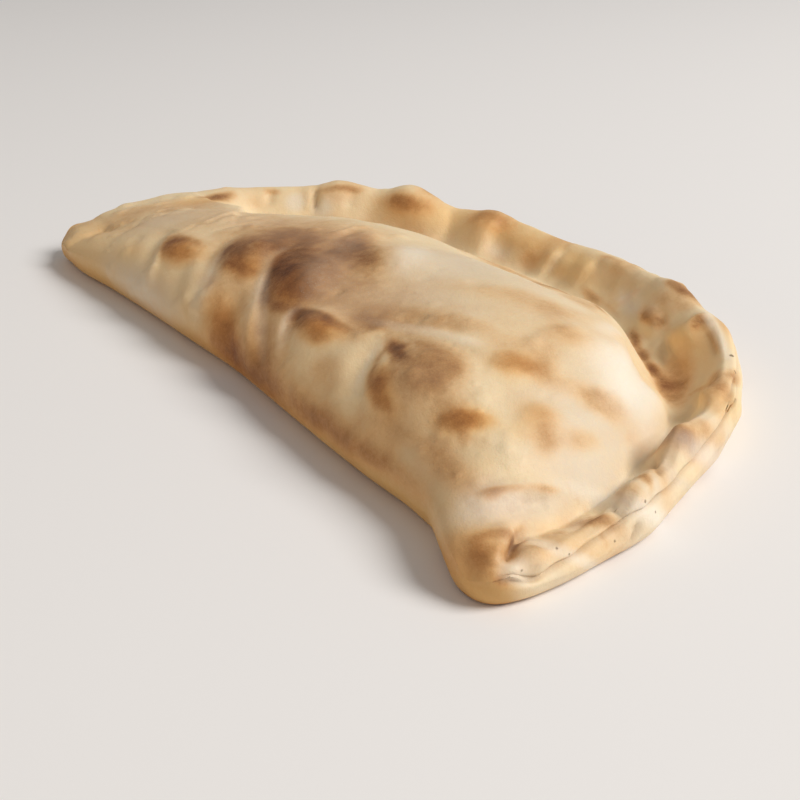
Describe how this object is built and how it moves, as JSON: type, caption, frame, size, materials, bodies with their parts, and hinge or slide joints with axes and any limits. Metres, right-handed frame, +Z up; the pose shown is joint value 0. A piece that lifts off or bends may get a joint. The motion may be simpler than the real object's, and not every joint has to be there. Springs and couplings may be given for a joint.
{
  "type": "calzone",
  "caption": "Whole baked calzone: a half-moon of blistered dough with a full belly and a crimped, rolled rim along the curved edge.",
  "frame": {"origin": "middle of the bounding box of the flat underside, on the surface that the calzone lies on", "axes": "+X along the fold towards the front tip, +Y from the fold to the crimped rim, +Z up"},
  "size_m": [0.2995, 0.1584, 0.0357],
  "materials": {
    "crust": "baked wheat dough: pale cream with toasted tan and brown blisters, a trace of flour, dull with a faint sheen on the browned spots"
  },
  "bodies": {
    "root": {"calzone": "crust"}
  },
  "joints": []
}
